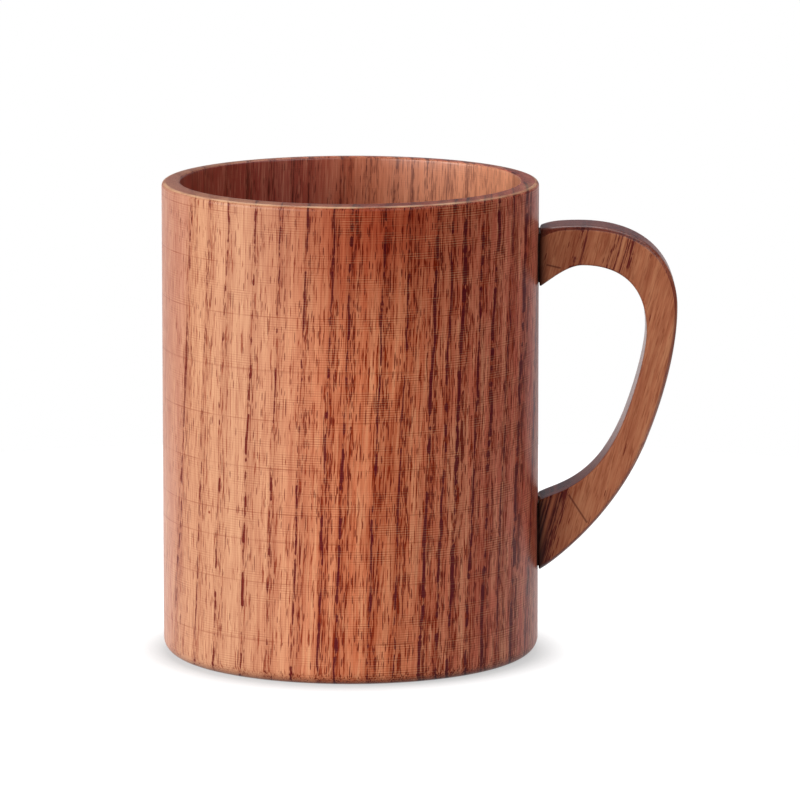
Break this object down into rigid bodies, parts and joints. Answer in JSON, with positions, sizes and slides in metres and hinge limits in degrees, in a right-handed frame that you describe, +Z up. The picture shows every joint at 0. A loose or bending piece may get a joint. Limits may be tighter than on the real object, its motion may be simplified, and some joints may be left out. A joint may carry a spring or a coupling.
{
  "type": "wooden mug",
  "caption": "Straight-sided turned wooden mug with a flat base, a rounded rim and a sawn ear-shaped board handle dowelled and glued to its wall, for drinks.",
  "frame": {"origin": "centre of the flat base, on the turning axis", "axes": "+Z up along the turning axis, +X from the axis towards the handle"},
  "size_m": [0.108, 0.079, 0.1],
  "materials": {
    "cup_wood": "turned, clear satin finish",
    "handle_wood": "sawn and sanded, clear satin finish",
    "dowel_wood": "plain, unfinished",
    "joint_glue": "cured dark wood glue"
  },
  "bodies": {
    "root": {"cup_body": "cup_wood", "handle": "handle_wood", "upper_dowel": "dowel_wood", "lower_dowel": "dowel_wood", "upper_glue_line": "joint_glue", "lower_glue_line": "joint_glue"}
  },
  "joints": []
}
